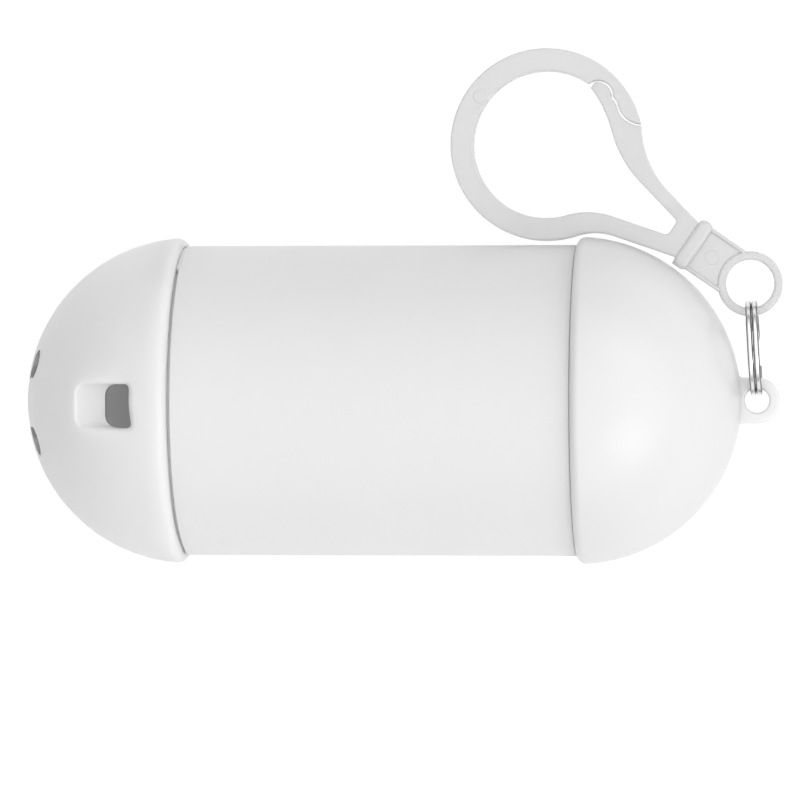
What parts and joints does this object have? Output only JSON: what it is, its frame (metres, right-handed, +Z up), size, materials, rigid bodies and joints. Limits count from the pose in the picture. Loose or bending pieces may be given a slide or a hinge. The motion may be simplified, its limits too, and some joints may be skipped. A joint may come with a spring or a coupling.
{
  "type": "bag dispenser",
  "caption": "Capsule-shaped dispenser for a roll of waste bags, with a twist-off cap that has a tear slot and a dispensing mouth, a split ring and a snap clip for a lead.",
  "frame": {"origin": "on the surface the capsule lies on, under the middle of the box round the whole part", "axes": "+X along the capsule from the slot cap to the loop cap, +Y from the capsule towards the clip, +Z up, out of the face with the tear slot"},
  "size_m": [0.0926, 0.063, 0.04],
  "materials": {
    "shell_plastic": "fine satin moulded surface",
    "cap_plastic": "semi-gloss moulded surface",
    "bag_film": "thin translucent polyethylene film, tightly rolled",
    "core_paper": "plain spiral-wound paperboard",
    "ring_steel": "bright nickel-plated spring steel",
    "clip_plastic": "slightly translucent natural acetal, satin"
  },
  "bodies": {
    "shell": {"tube": "shell_plastic", "loop_cap": "cap_plastic"},
    "slot_cap": {"slot_cap": "shell_plastic"},
    "roll": {"bag_roll": "bag_film", "roll_core": "core_paper"},
    "split_ring": {"split_ring": "ring_steel"},
    "clip": {"clip_hook": "clip_plastic"},
    "gate": {"clip_gate": "clip_plastic"}
  },
  "joints": [
    {"name": "cap_pull", "type": "slide", "parent": "shell", "child": "slot_cap", "axis": [-1, 0, 0], "range_m": [0, 0.045]},
    {"name": "roll_spin", "type": "hinge", "parent": "shell", "child": "roll", "pos_m": [-0.00253, -0.01152, 0.0183], "axis": [1, 0, 0], "continuous": true},
    {"name": "ring_swing", "type": "hinge", "parent": "shell", "child": "split_ring", "pos_m": [0.04325, -0.01152, 0.02], "axis": [0, 0, 1], "range_deg": [-120, 0]},
    {"name": "clip_swing", "type": "hinge", "parent": "split_ring", "child": "clip", "pos_m": [0.0424, 0.00271, 0.02], "axis": [0, 0, 1], "range_deg": [-120, 0]},
    {"name": "gate_flex", "type": "hinge", "parent": "clip", "child": "gate", "pos_m": [0.03308, 0.01209, 0.02], "axis": [0, 0, 1], "range_deg": [0, 20], "stiffness_Nm_per_rad": 0.05}
  ]
}
